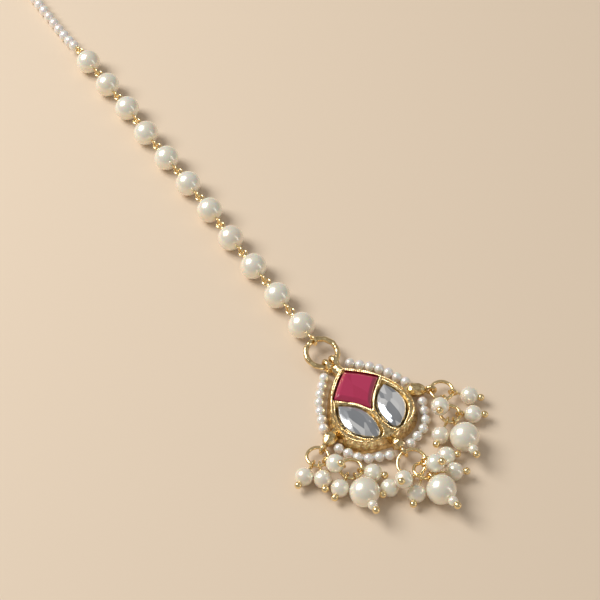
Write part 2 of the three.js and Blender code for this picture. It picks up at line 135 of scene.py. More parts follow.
def bead(radius: float, segments: int, rings: int, drilled: bool = True) -> bpy.types.Object:
    """A round bead, drilled along Z.

    Args:
        radius: in millimetres.
        segments: faces round it.
        rings: faces from pole to pole.
        drilled: whether a hole runs through it.

    Returns:
        The bead, centred on the origin.
    """
    clear_selection()
    bpy.ops.mesh.primitive_uv_sphere_add(segments=segments, ring_count=rings, radius=radius)
    piece = bpy.context.object
    if drilled:
        edit_all(piece)
        bpy.ops.mesh.select_all(action="DESELECT")
        bpy.ops.mesh.select_mode(type="FACE")
        bpy.ops.object.mode_set(mode="OBJECT")
        rim = radius * math.sin(math.pi / rings) * 1.02
        for face in piece.data.polygons:
            face.select = math.hypot(face.center.x, face.center.y) < rim * 0.8
        bpy.ops.object.mode_set(mode="EDIT")
        bpy.ops.mesh.delete(type="FACE")
        bpy.ops.mesh.select_mode(type="EDGE")
        bpy.ops.mesh.select_all(action="DESELECT")
        bpy.ops.mesh.select_non_manifold(extend=False, use_boundary=True)
        bpy.ops.mesh.bridge_edge_loops()
        bpy.ops.mesh.select_mode(type="VERT")
    return outward(piece)


def open_ring(radius: float, wire: float, opening: float, steps: int = 48,
              sides: int = 12) -> bpy.types.Object:
    """A bent wire ring whose ends nearly meet, lying flat with its opening on +X.

    Args:
        radius: of the wire's centreline.
        wire: radius of the wire.
        opening: degrees left open between the ends.
        steps: sections round the ring.
        sides: faces round the wire.

    Returns:
        The ring.
    """
    clear_selection()
    bpy.ops.mesh.primitive_circle_add(vertices=sides, radius=wire, fill_type="NGON",
                                      location=(radius, 0, 0), rotation=(math.pi / 2, 0, 0))
    piece = bpy.context.object
    settle(piece)
    edit_all(piece)
    bpy.ops.mesh.spin(steps=steps, angle=math.radians(360 - opening), center=(0, 0, 0),
                      axis=(0, 0, 1))
    return outward(piece)


def rod(radius: float, start: float, end: float, sides: int = 12) -> bpy.types.Object:
    """A straight round rod along Z with flat ends."""
    clear_selection()
    bpy.ops.mesh.primitive_circle_add(vertices=sides, radius=radius, fill_type="NGON",
                                      location=(0, 0, start))
    piece = bpy.context.object
    settle(piece)
    edit_all(piece)
    bpy.ops.mesh.extrude_region_move(TRANSFORM_OT_translate={"value": (0, 0, end - start)})
    return outward(piece)


def upright_loop(radius: float, wire: float) -> bpy.types.Object:
    """A pin's end loop, whose plane holds X and Z, with its opening beside the neck on +Z."""
    loop = open_ring(radius, wire, opening=12, steps=30, sides=10)
    turn = Matrix.Rotation(math.radians(-90), 4, "Y") @ Matrix.Rotation(math.radians(90), 4, "X")
    loop.data.transform(turn)
    return loop


def shaped_disc(outline: list[Vector], height: float) -> bpy.types.Object:
    """A flat filled disc whose rim follows an outline.

    Args:
        outline: its points in order.
        height: of the disc above the floor.

    Returns:
        The disc.
    """
    clear_selection()
    bpy.ops.mesh.primitive_circle_add(vertices=len(outline), radius=1, fill_type="NGON",
                                      location=(0, 0, height))
    piece = bpy.context.object
    settle(piece)
    for vertex, point in zip(piece.data.vertices, outline):
        vertex.co.x, vertex.co.y = point.x, point.y
    return piece


def raised(piece: bpy.types.Object, levels: list[tuple[float, float]], middle: Vector) -> None:
    """Pulls the selected disc up through heights, resizing it at each.

    Args:
        piece: a disc from shaped_disc.
        levels: for each step, how far it rises and the scale that it takes from the one before.
        middle: the point that it is resized about.
    """
    edit_all(piece)
    for rise, scale in levels:
        bpy.ops.mesh.extrude_region_move(TRANSFORM_OT_translate={"value": (0, 0, rise)})
        bpy.ops.transform.resize(value=(scale, scale, 1), center_override=middle)
    outward(piece)


def wire_along(points: list[Vector], radii: list[float], closed: bool,
               resolution: int = 3) -> bpy.types.Object:
    """A wire of varying thickness along a route, as a mesh.

    Args:
        points: the route.
        radii: the wire's radius at each point.
        closed: whether the route meets itself.
        resolution: roundness of the section.

    Returns:
        The wire.
    """
    clear_selection()
    curve = bpy.data.curves.new("wire", "CURVE")
    curve.dimensions = "3D"
    curve.bevel_depth = 1.0
    curve.bevel_resolution = resolution
    curve.use_fill_caps = True
    spline = curve.splines.new("POLY")
    spline.points.add(len(points) - 1)
    for spot, point, radius in zip(spline.points, points, radii):
        spot.co = (*point, 1)
        spot.radius = radius
    spline.use_cyclic_u = closed
    piece = bpy.data.objects.new("wire", curve)
    bpy.context.collection.objects.link(piece)
    piece.select_set(True)
    bpy.context.view_layer.objects.active = piece
    bpy.ops.object.convert(target="MESH")
    return outward(piece)


def roughen(piece: bpy.types.Object, grain: float, depth: float, seed: float,
            low: float = -9.0, high: float = 9.0) -> None:
    """Dents a piece's surface like hand-beaten metal.

    Args:
        piece: in millimetres.
        grain: size of one dent.
        depth: how far the surface moves each way.
        seed: shifts the pattern.
        low: lowest height that is dented.
        high: highest height that is dented.
    """
    shift = Vector((seed, seed * 0.7, seed * 1.3))
    for vertex in piece.data.vertices:
        if low < vertex.co.z < high:
            amount = noise.noise(vertex.co / grain + shift)
            vertex.co += vertex.normal * amount * depth


def smooth_route(points: list[Vector], per_span: int) -> list[Vector]:
    """A centripetal Catmull-Rom route through points.

    Args:
        points: what it passes through.
        per_span: steps between two of them.

    Returns:
        The finer points, ends included.
    """
    first = points[0] * 2 - points[1]
    last = points[-1] * 2 - points[-2]
    ends = [first, *points, last]
    fine = []
    for p0, p1, p2, p3 in zip(ends, ends[1:], ends[2:], ends[3:]):
        t1 = (p1 - p0).length ** 0.5
        t2 = t1 + (p2 - p1).length ** 0.5
        t3 = t2 + (p3 - p2).length ** 0.5
        for step in range(per_span):
            t = t1 + (t2 - t1) * step / per_span
            a1 = p0.lerp(p1, t / t1)
            a2 = p1.lerp(p2, (t - t1) / (t2 - t1))
            a3 = p2.lerp(p3, (t - t2) / (t3 - t2))
            b1 = a1.lerp(a2, t / t2)
            b2 = a2.lerp(a3, (t - t1) / (t3 - t1))
            fine.append(b1.lerp(b2, (t - t1) / (t2 - t1)))
    fine.append(points[-1].copy())
    return fine


def even_points(route: list[Vector], count: int) -> list[Vector]:
    """Evenly spaced points along a route, its ends included.

    Args:
        route: the fine points of the route.
        count: how many points to give back.

    Returns:
        The points.
    """
    reach = [0.0]
    for here, after in zip(route, route[1:]):
        reach.append(reach[-1] + (after - here).length)
    spaced = []
    at = 0
    for index in range(count):
        target = reach[-1] * index / (count - 1)
        while at < len(route) - 2 and reach[at + 1] < target:
            at += 1
        span = reach[at + 1] - reach[at]
        spaced.append(route[at].lerp(route[at + 1], (target - reach[at]) / span))
    return spaced


def finish_piece(piece: bpy.types.Object, name: str, material: bpy.types.Material,
                 replaced: tuple[str, ...] = (), sharp: float = 35.0) -> bpy.types.Object:
    """Args:
        piece: the piece, in millimetres.
        name: its name.
        material: what it is made of.
        replaced: the CAD nodes that it stands for.
        sharp: degrees past which an edge stays sharp.

    Returns:
        The piece.
    """
    clear_selection()
    piece.data.transform(Matrix.Scale(MM, 4))
    piece.name = name
    piece.data.name = name
    piece.select_set(True)
    bpy.context.view_layer.objects.active = piece
    bpy.ops.object.shade_smooth_by_angle(angle=math.radians(sharp))
    piece.data.materials.clear()
    piece.data.materials.append(material)
    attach(piece, "root")
    if replaced:
        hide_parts(*replaced)
    LOG.info("made %s", name)
    return piece


# ---- measuring the frame ----
@dataclass(frozen=True)
class RingPlace:
    """Where a ring lies: its centre, the axis that it is round, and its wire's centreline."""

    centre: Vector
    axis: Vector
    radius: float

    def facing(self, target: Vector) -> tuple[Vector, Vector]:
        """The point of the wire that faces a target, with the wire's direction there."""
        out = target - self.centre
        out -= self.axis * out.dot(self.axis)
        out.normalize()
        return self.centre + out * self.radius, self.axis.cross(out)


def node_points(name: str) -> list[Vector]:
    """The corners of a CAD node, in millimetres, each of them once."""
    seen: dict[tuple[float, float, float], Vector] = {}
    for vertex in bpy.data.objects[name].data.vertices:
        point = vertex.co / MM
        seen[(round(point.x, 3), round(point.y, 3), round(point.z, 3))] = point
    return list(seen.values())


def middle_of(name: str) -> Vector:
    """The middle of a CAD node's box, in millimetres."""
    low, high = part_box(name)
    return (low + high) / 2 / MM


def ring_place(name: str, wire: float) -> RingPlace:
    """Measures a round CAD ring.

    Args:
        name: its node.
        wire: radius of its wire.

    Returns:
        Its place.
    """
    centre = middle_of(name)
    points = [point - centre for point in node_points(name)]
    reach = max(point.length for point in points)
    rim = sorted((point for point in points if point.length > reach - 0.01),
                 key=lambda point: math.atan2(point.y, point.x))
    axis = Vector()
    for here, after in zip(rim, rim[1:] + rim[:1]):
        axis += here.cross(after)
    return RingPlace(centre, axis.normalized(), reach - wire)


def bead_tops(name: str, spread: float, low: float, high: float) -> list[Vector]:
    """The tops of the beads of a string.

    Args:
        name: its node.
        spread: a top is the highest point within this distance.
        low: lowest height of a top.
        high: highest height of a top.

    Returns:
        The tops, from one end of the string to the other.
    """
    points = [point for point in node_points(name) if point.z > low - 1]
    tops = []
    for point in points:
        near = [other for other in points if (other - point).xy.length < spread]
        if low < point.z < high and point.z >= max(other.z for other in near):
            tops.append(point)
    centre = sum(tops, Vector()) / len(tops)
    start = max(tops, key=lambda top: (top - centre).length)
    return sorted(tops, key=lambda top: (top - start).length)


def outline_at(name: str, height: float) -> list[Vector]:
    """A CAD node's corners at one height, in order round their middle."""
    found = [point for point in node_points(name) if abs(point.z - height) < 0.01]
    centre = sum(found, Vector()) / len(found)
    found.sort(key=lambda point: math.atan2(point.y - centre.y, point.x - centre.x))
    return [Vector((point.x, point.y, 0)) for point in found]


def offset(outline: list[Vector], distance: float) -> list[Vector]:
    """A closed outline, in counterclockwise order, moved outwards with mitred corners."""
    moved = []
    for index, point in enumerate(outline):
        into = (point - outline[index - 1]).normalized()
        away = (outline[(index + 1) % len(outline)] - point).normalized()
        normal = (into + away).cross(UP).normalized()
        moved.append(point + normal * distance / max(normal.dot(into.cross(UP)), 0.6))
    return moved


# ---- finishes ----
def effect(name: str, inputs: dict[str, float], outputs: dict[str, str]) -> bpy.types.NodeTree:
    """A shader node group with named sockets.

    Args:
        name: of the group.
        inputs: number sockets with the value that each starts at.
        outputs: sockets with their types.

    Returns:
        The group, with its two end nodes named In and Out.
    """
    group = bpy.data.node_groups.new(name, "ShaderNodeTree")
    group.interface.new_socket("Position", in_out="INPUT", socket_type="NodeSocketVector")
    for label, value in inputs.items():
        socket = group.interface.new_socket(label, in_out="INPUT", socket_type="NodeSocketFloat")
        socket.default_value = value
    for label, kind in outputs.items():
        group.interface.new_socket(label, in_out="OUTPUT", socket_type=f"NodeSocket{kind}")
    group.nodes.new("NodeGroupInput").name = "In"
    group.nodes.new("NodeGroupOutput").name = "Out"
    return group


def node_of(tree: bpy.types.NodeTree, kind: str, **values: object) -> bpy.types.Node:
    """Adds a node and sets its properties."""
    node = tree.nodes.new(kind)
    for label, value in values.items():
        setattr(node, label, value)
    return node


def beaten_effect() -> bpy.types.NodeTree:
    """Dents and scratches of worked gold, with a mask of painted shade laid along the dent
    pattern.
    """
    group = effect("Beaten metal", {"Scale": 900.0, "Depth": 0.5, "Rough": 0.2, "Tarnish": 0.4},
                   {"Normal": "Vector", "Roughness": "Float", "Dark": "Float"})
    links, ends, out = group.links, group.nodes["In"], group.nodes["Out"]
    dents = node_of(group, "ShaderNodeTexVoronoi", feature="SMOOTH_F1")
    grit = node_of(group, "ShaderNodeTexNoise")
    grit.inputs["Detail"].default_value = 6
    for texture in (dents, grit):
        links.new(ends.outputs["Position"], texture.inputs["Vector"])
        links.new(ends.outputs["Scale"], texture.inputs["Scale"])
    mixed = node_of(group, "ShaderNodeMath", operation="ADD")
    links.new(dents.outputs["Distance"], mixed.inputs[0])
    links.new(grit.outputs["Fac"], mixed.inputs[1])
    bump = node_of(group, "ShaderNodeBump")
    bump.inputs["Distance"].default_value = 0.00012
    links.new(ends.outputs["Depth"], bump.inputs["Strength"])
    links.new(mixed.outputs[0], bump.inputs["Height"])
    links.new(bump.outputs["Normal"], out.inputs["Normal"])
    rough = node_of(group, "ShaderNodeMath", operation="MULTIPLY_ADD")
    rough.inputs[1].default_value = 0.18
    links.new(grit.outputs["Fac"], rough.inputs[0])
    links.new(ends.outputs["Rough"], rough.inputs[2])
    links.new(rough.outputs[0], out.inputs["Roughness"])
    # painted shade: the gold turns brown where dents and grit run high, up to the shade strength
    shade_mask = node_of(group, "ShaderNodeMapRange")
    shade_mask.inputs["From Min"].default_value = 0.75
    shade_mask.inputs["From Max"].default_value = 1.15
    links.new(mixed.outputs[0], shade_mask.inputs["Value"])
    links.new(ends.outputs["Tarnish"], shade_mask.inputs["To Max"])
    links.new(shade_mask.outputs["Result"], out.inputs["Dark"])
    return group


def lustre_effect() -> bpy.types.NodeTree:
    """Slow drifts of tint and tiny skin marks of a pearl."""
    group = effect("Pearl lustre", {"Scale": 260.0, "Skin": 0.1},
                   {"Tint": "Float", "Normal": "Vector"})
    links, ends, out = group.links, group.nodes["In"], group.nodes["Out"]
    drift = node_of(group, "ShaderNodeTexNoise")
    drift.inputs["Detail"].default_value = 1
    links.new(ends.outputs["Position"], drift.inputs["Vector"])
    links.new(ends.outputs["Scale"], drift.inputs["Scale"])
    spread = node_of(group, "ShaderNodeMapRange")
    spread.inputs["From Min"].default_value = 0.35
    spread.inputs["From Max"].default_value = 0.65
    links.new(drift.outputs["Fac"], spread.inputs["Value"])
    links.new(spread.outputs["Result"], out.inputs["Tint"])
    bump = node_of(group, "ShaderNodeBump")
    bump.inputs["Distance"].default_value = 0.0001
    links.new(ends.outputs["Skin"], bump.inputs["Strength"])
    links.new(drift.outputs["Fac"], bump.inputs["Height"])
    links.new(bump.outputs["Normal"], out.inputs["Normal"])
    return group


def streak_effect() -> bpy.types.NodeTree:
    """Facet bumps of a stone, with a mask that paints the foil's reflections as bright and dark
    streaks.
    """
    group = effect("Foil", {"Scale": 300.0, "Depth": 0.3}, {"Painted glint": "Float", "Normal": "Vector"})
    links, ends, out = group.links, group.nodes["In"], group.nodes["Out"]
    facets = node_of(group, "ShaderNodeTexVoronoi", feature="F1")
    stretch = node_of(group, "ShaderNodeMapping")
    stretch.inputs["Scale"].default_value = (1.0, 0.35, 1.0)
    links.new(ends.outputs["Position"], stretch.inputs["Vector"])
    links.new(stretch.outputs["Vector"], facets.inputs["Vector"])
    links.new(ends.outputs["Scale"], facets.inputs["Scale"])
    # painted reflection: each facet cell gets its own brightness of the foil's glint
    grey = node_of(group, "ShaderNodeSeparateColor")
    links.new(facets.outputs["Color"], grey.inputs["Color"])
    links.new(grey.outputs["Red"], out.inputs["Painted glint"])
    bump = node_of(group, "ShaderNodeBump")
    bump.inputs["Distance"].default_value = 0.0002
    links.new(ends.outputs["Depth"], bump.inputs["Strength"])
    links.new(facets.outputs["Distance"], bump.inputs["Height"])
    links.new(bump.outputs["Normal"], out.inputs["Normal"])
    return group


@dataclass(frozen=True)
class Finish:
    """Plain shader values that every finish sets."""

    name: str
    low: tuple[float, float, float]
    high: tuple[float, float, float]

    def base(self) -> tuple[bpy.types.Material, bpy.types.Node, bpy.types.Node]:
        """Starts the material: itself, its shader and its place coordinates."""
        material = bpy.data.materials.new(self.name)
        material.use_nodes = True
        nodes = material.node_tree.nodes
        return material, nodes["Principled BSDF"], nodes.new("ShaderNodeTexCoord")

    def tinted(self, tree: bpy.types.NodeTree, mask: bpy.types.NodeSocket,
               shader: bpy.types.Node) -> None:
        """Drives the base colour between the finish's two colours by a mask."""
        mix = node_of(tree, "ShaderNodeMix", data_type="RGBA")
        mix.inputs["A"].default_value = (*self.low, 1)
        mix.inputs["B"].default_value = (*self.high, 1)
        tree.links.new(mask, mix.inputs["Factor"])
        tree.links.new(mix.outputs["Result"], shader.inputs["Base Color"])

    def placed(self, tree: bpy.types.NodeTree, group: bpy.types.NodeTree,
               place: bpy.types.Node, **values: float) -> bpy.types.Node:
        """Places a shared effect with its own values."""
        node = node_of(tree, "ShaderNodeGroup", node_tree=group)
        for label, value in values.items():
            node.inputs[label].default_value = value
        tree.links.new(place.outputs["Object"], node.inputs["Position"])
        return node


@dataclass(frozen=True)
class Gold(Finish):
    """Pale yellow gold, worked more or less by hand."""

    scale: float = 900.0
    depth: float = 0.4
    rough: float = 0.1
    # strength of the painted shade laid along the dent pattern
    painted_shade: float = 0.4

    def build(self, beaten: bpy.types.NodeTree) -> bpy.types.Material:
        """Makes the material from the shared beaten effect."""
        material, shader, place = self.base()
        tree = material.node_tree
        node = self.placed(tree, beaten, place, Scale=self.scale, Depth=self.depth,
                           Rough=self.rough, Tarnish=self.painted_shade)
        shader.inputs["Metallic"].default_value = 1.0
        # painted shade: the base colour darkens towards the finish's dark colour along the dent
        # pattern
        self.tinted(tree, node.outputs["Dark"], shader)
        tree.links.new(node.outputs["Roughness"], shader.inputs["Roughness"])
        tree.links.new(node.outputs["Normal"], shader.inputs["Normal"])
        return material


@dataclass(frozen=True)
class Pearl(Finish):
    """Glossy nacre over a cream body."""

    scale: float = 260.0
    rough: float = 0.26

    def build(self, lustre: bpy.types.NodeTree) -> bpy.types.Material:
        """Makes the material from the shared lustre effect."""
        material, shader, place = self.base()
        tree = material.node_tree
        node = self.placed(tree, lustre, place, Scale=self.scale)
        self.tinted(tree, node.outputs["Tint"], shader)
        tree.links.new(node.outputs["Normal"], shader.inputs["Normal"])
        shader.inputs["Roughness"].default_value = self.rough
        shader.inputs["Metallic"].default_value = 0.35
        shader.inputs["Subsurface Weight"].default_value = 0.25
        shader.inputs["Subsurface Scale"].default_value = 0.001
        shader.inputs["Coat Weight"].default_value = 0.9
        shader.inputs["Coat Roughness"].default_value = 0.14
        return material


@dataclass(frozen=True)
class Stone(Finish):
    """Glass over foil."""

    scale: float = 300.0
    depth: float = 0.2
    metallic: float = 0.0

    def build(self, foil: bpy.types.NodeTree) -> bpy.types.Material:
        """Makes the material from the shared foil effect."""
        material, shader, place = self.base()
        tree = material.node_tree
        node = self.placed(tree, foil, place, Scale=self.scale, Depth=self.depth)
        # painted reflection: the base colour runs between the two colours by the foil's painted
        # glints
        self.tinted(tree, node.outputs["Painted glint"], shader)
        tree.links.new(node.outputs["Normal"], shader.inputs["Normal"])
        shader.inputs["Roughness"].default_value = 0.12
        shader.inputs["Metallic"].default_value = self.metallic
        shader.inputs["Coat Weight"].default_value = 1.0
        shader.inputs["Coat Roughness"].default_value = 0.03
        return material


class Slot(str, Enum):
    """The record's material slots."""

    GOLD = "gold"
    PEARL = "pearl"
    SEED = "seed_pearl"
    PINK = "pink_glass"
    CLEAR = "clear_glass"


class Finishes:
    """Every material of the object, made once."""

    def __init__(self) -> None:
        beaten, lustre, foil = beaten_effect(), lustre_effect(), streak_effect()
        # each gold's dark colour is painted shade, laid along its dent pattern with the strength
        # of the last value
        bright, shade_brown = (1.0, 0.79, 0.43), (0.34, 0.19, 0.06)
        self.setting = Gold("gold_setting", bright, shade_brown, 1500.0, 0.7, 0.10, 0.55).build(beaten)
        self.beaten = Gold("gold_beaten", bright, shade_brown, 1100.0, 0.8, 0.08, 0.45).build(beaten)
        self.wire = Gold("gold_wire", bright, shade_brown, 700.0, 0.15, 0.07, 0.15).build(beaten)
        self.pearl = Pearl("nacre", (0.96, 0.86, 0.70), (0.97, 0.94, 0.80)).build(lustre)
        self.seed = Pearl("seed_nacre", (0.90, 0.85, 0.78), (0.95, 0.92, 0.88), 500.0,
                          0.25).build(lustre)
        # each stone's spread of colour is painted reflection of its foil: two close pinks, and
        # dark grey to white for the clear stones
        self.pink = Stone("pink_foiled_glass", (0.42, 0.014, 0.070), (0.52, 0.030, 0.11), 260.0,
                          0.05).build(foil)
        self.clear = Stone("silver_foiled_glass", (0.30, 0.32, 0.35), (1.0, 1.0, 1.0), 620.0, 0.8,
                           0.6).build(foil)


# ---- the pendant ----
@dataclass
class Setting:
    """The gold setting: walls with their grained rims, the lugs and the bail."""

    finishes: Finishes
    top: float = 3.05
    mouths: dict[str, float] = field(default_factory=lambda: {
        "pink_stone": 0.3, "clear_stone_left": 0.62, "clear_stone_right": 0.62})

    def rim(self, outline: list[Vector], radius: float, height: float) -> bpy.types.Object:
        """A grained rim wire along an outline.

        Args:
            outline: the wire's route.
            radius: of the wire at its thickest.
            height: of its centre.

        Returns:
            The wire.
        """
        closed = [*outline, outline[0]]
        length = sum((after - here).length for here, after in zip(closed, closed[1:]))
        count = round(length / 0.11)
        route = even_points(closed, count + 1)[:-1]
        points = [Vector((point.x, point.y, height)) for point in route]
        radii = [radius * (0.80 + 0.20 * math.cos(index * math.pi / 2))
                 for index in range(len(points))]
        return wire_along(points, radii, closed=True, resolution=2)

    def walls(self) -> bpy.types.Object:
        """The solid plate and walls with a pocket for each stone."""
        foot = outline_at("setting", 0.0)
        body = shaped_disc(foot, 0.0)
        edit_all(body)
        bpy.ops.mesh.extrude_region_move(TRANSFORM_OT_translate={"value": (0, 0, 0.55)})
        levels = [(0.13, 0.42), (0.10, 0.42), (0.17, 0.42), (0.10, 0.42), (0.16, 0.42),
                  (0.09, self.top - 0.55 - 5 * 0.42)]
        for step_in, rise in levels:
            bpy.ops.mesh.inset(thickness=step_in, depth=0, use_even_offset=True)
            bpy.ops.transform.translate(value=(0, 0, rise))
        outward(body)
        for name in ("pink_stone", "clear_stone_left", "clear_stone_right"):
            edge = outline_at(name, 2.9)
            cutter = shaped_disc(offset(edge, self.mouths[name] + 0.1), self.top + 0.15)
            edit_all(cutter)
            bpy.ops.mesh.extrude_region_move(TRANSFORM_OT_translate={"value": (0, 0, -1.0)})
            bpy.ops.mesh.select_mode(type="VERT")
            bpy.ops.object.mode_set(mode="OBJECT")
            sunk = [v for v in cutter.data.vertices if v.co.z < self.top - 0.5]
            for vertex, point in zip(sunk, offset(edge, 0.1)):
                vertex.co.x, vertex.co.y = point.x, point.y
            edit_all(cutter)
            bpy.ops.mesh.select_all(action="DESELECT")
            bpy.ops.object.mode_set(mode="OBJECT")
            for face in cutter.data.polygons:
                face.select = face.center.z < self.top - 0.6
            bpy.ops.object.mode_set(mode="EDIT")
            bpy.ops.mesh.select_mode(type="FACE")
            bpy.ops.mesh.extrude_region_move(TRANSFORM_OT_translate={"value": (0, 0, -1.5)})
            outward(cutter)
            self.cut(body, cutter)
        return body

    def cut(self, body: bpy.types.Object, cutter: bpy.types.Object) -> None:
        """Cuts one solid out of another."""
        clear_selection()
        body.select_set(True)
        bpy.context.view_layer.objects.active = body
        taken = body.modifiers.new("pocket", "BOOLEAN")
        taken.operation = "DIFFERENCE"
        taken.solver = "EXACT"
        taken.object = cutter
        bpy.ops.object.modifier_apply(modifier=taken.name)
        bpy.data.objects.remove(cutter)

    def turned(self, profile: list[tuple[float, float]], sides: int) -> bpy.types.Object:
        """A turned solid along Z.

        Args:
            profile: radius and height of each step from the bottom up.
            sides: faces round it.

        Returns:
            The solid.
        """
        clear_selection()
        radius, height = profile[0]
        bpy.ops.mesh.primitive_circle_add(vertices=sides, radius=radius, fill_type="NGON",
                                          location=(0, 0, height))
        piece = bpy.context.object
        settle(piece)
        edit_all(piece)
        for upper, after in profile[1:]:
            bpy.ops.mesh.extrude_region_move(
                TRANSFORM_OT_translate={"value": (0, 0, after - height)})
            ratio = upper / radius
            bpy.ops.transform.resize(value=(ratio, ratio, 1), center_override=(0, 0, after))
            radius, height = upper, after
        return outward(piece)

    def lug(self, ring: RingPlace, root: Vector) -> list[bpy.types.Object]:
        """One soldered arm with the eye that holds a ring."""
        point, tangent = ring.facing(root)
        axis = point - root
        reach = axis.length - 1.0
        profile = [(0.75, 0.0), (0.8, 1.0), (1.2, 1.3), (1.5, 1.9), (1.5, reach - 1.5),
                   (1.15, reach - 0.7), (0.6, reach)]
        arm = self.turned(profile, 9)
        place = frame_at(root, axis, UP)
        arm.data.transform(place)
        eye = open_ring(1.0, 0.42, 0.01, 36, 12)
        eye.data.transform(frame_at(point, axis, tangent) @ Matrix.Rotation(math.pi / 2, 4, "X"))
        return [arm, eye]

    def build(self) -> bpy.types.Object:
        """Builds the whole setting as one piece."""
        body = self.walls()
        edge = offset(outline_at("setting", 0.0), -0.98)
        parts = [body, self.rim(edge, 0.24, 3.16)]
        for name in ("pink_stone", "clear_stone_left", "clear_stone_right"):
            parts.append(self.rim(offset(outline_at(name, 2.9), self.mouths[name] + 0.16), 0.19,
                                  3.14))
        roots = {"left_ring_upper": (-9.0, -2.4), "bottom_ring_upper": (0.4, -10.6),
                 "right_ring_upper": (8.9, -0.8)}
        for name, (x, y) in roots.items():
            parts.extend(self.lug(ring_place(name, 0.38), Vector((x, y, 1.7))))
        ring = ring_place("top_ring", 0.62)
        for degrees, width in ((-70, 1.75), (-101, 1.35)):
            angle = math.radians(degrees)
            side = ring.axis.cross(Vector((1, 0, 0))).normalized()
            hold = ring.centre + (Vector((1, 0, 0)) * math.cos(angle)
                                  + side * math.sin(angle)) * ring.radius
            clear_selection()
            bpy.ops.mesh.primitive_torus_add(major_radius=1.34, minor_radius=0.4,
                                             major_segments=32, minor_segments=12,
                                             rotation=(0, math.pi / 2, 0))
            leg = bpy.context.object
            settle(leg)
            leg.data.transform(Matrix.Translation(hold) @ Matrix.Scale(width, 4, (1, 0, 0)))
            parts.append(leg)
        neck = self.turned([(1.2, 0.0), (1.35, 1.2), (1.3, 2.6)], 12)
        root = Vector((-0.1, 8.9, 1.6))
        neck.data.transform(frame_at(root, Vector((-0.4, 2.6, 0.0)), UP))
        parts.append(neck)
        return finish_piece(joined(parts), "setting_fine", self.finishes.setting,
                            ("setting",), 28)


@dataclass
class Stones:
    """The three foiled stones."""

    finishes: Finishes

    def stone(self, name: str, material: bpy.types.Material,
              crown: list[tuple[float, float]]) -> None:
        """One stone, up from its foot through its crown."""
        edge = outline_at(name, 2.9)
        middle = sum(edge, Vector()) / len(edge)
        piece = shaped_disc([middle + (point - middle) * 0.85 for point in edge], 0.95)
        raised(piece, [(1.95, 1 / 0.85), *crown], middle)
        clear_selection()
        piece.select_set(True)
        bpy.context.view_layer.objects.active = piece
        soft = piece.modifiers.new("soft", "BEVEL")
        soft.width, soft.segments, soft.limit_method = 0.09, 2, "ANGLE"
        soft.angle_limit = math.radians(22)
        bpy.ops.object.modifier_apply(modifier=soft.name)
        finish_piece(piece, f"{name}_fine", material, (name,), 8)

    def build(self) -> None:
        """Builds the stones."""
        self.stone("pink_stone", self.finishes.pink, [(0.25, 0.97), (0.7, 0.78)])
        marquise = [(0.2, 0.96), (0.3, 0.78), (0.2, 0.66)]
        for side in ("left", "right"):
            self.stone(f"clear_stone_{side}", self.finishes.clear, marquise)


@dataclass
class SeedStrings:
    """The four strings of seed pearls round the frame."""

    finishes: Finishes
    radius: float = 1.1

    def build(self) -> None:
        """Builds each string."""
        model = bead(self.radius, 24, 16, drilled=False)
        for place in ("upper_left", "upper_right", "lower_left", "lower_right"):
            name = f"seed_string_{place}"
            tops = bead_tops(name, 0.9, 2.2, 2.4)
            spots = [top - UP * self.radius for top in tops]
            parts = [copied(model, Matrix.Translation(spot)) for spot in spots]
            route = smooth_route(spots, 6)
            parts.append(wire_along(route, [0.3] * len(route), closed=False))
            finish_piece(joined(parts), f"{name}_fine", self.finishes.seed,
                         (name,))
        bpy.data.objects.remove(model)


# ---- rings, links and drops ----
@dataclass
class Rings:
    """The jump rings, the ring at the top and the two oval links."""

    finishes: Finishes
    wire: float = 0.38
    places: dict[str, RingPlace] = field(default_factory=dict)

    def ring(self, name: str, place: RingPlace, wire: float, material: bpy.types.Material) -> None:
        """One round ring."""
        piece = open_ring(place.radius, wire, 3.0, 72, 16)
        side = Vector((0, 1, 0))
        piece.data.transform(frame_at(place.centre, place.axis, side))
        if wire > self.wire:
            roughen(piece, 0.7, 0.16, 3.0)
        finish_piece(piece, f"{name}_fine", material, (name,))

    def link(self, side: str) -> None:
        """One upright oval link between the two rings of a side cluster."""
        upper = self.places[f"{side}_ring_upper"]
        lower = self.places[f"{side}_ring_lower"]
        along = lower.centre - upper.centre
        spare = along.length - upper.radius - lower.radius
        middle = upper.centre + along.normalized() * (upper.radius + spare / 2)
        stretch = spare / 2 + self.wire + 0.2 - 0.7
        piece = open_ring(1.0, 0.3, 0.01, 40, 12)
        piece.data.transform(Matrix.Rotation(math.pi / 2, 4, "X"))
        for vertex in piece.data.vertices:
            vertex.co.z += stretch * math.cos(math.atan2(vertex.co.x, vertex.co.z))
        piece.data.transform(frame_at(middle, along, Vector((-along.y, along.x, 0))))
        finish_piece(piece, f"{side}_link_fine", self.finishes.wire,
                     (f"{side}_link",))

    def build(self) -> None:
        """Builds every ring and link."""
        for side in ("left", "bottom", "right"):
            for level in ("upper", "lower"):
                name = f"{side}_ring_{level}"
                self.places[name] = ring_place(name, self.wire)
                self.ring(name, self.places[name], self.wire, self.finishes.wire)
        self.link("left")
        self.link("right")
        top = ring_place("top_ring", 0.62)
        self.places["top_ring"] = top
        self.ring("top_ring", top, 0.62, self.finishes.beaten)


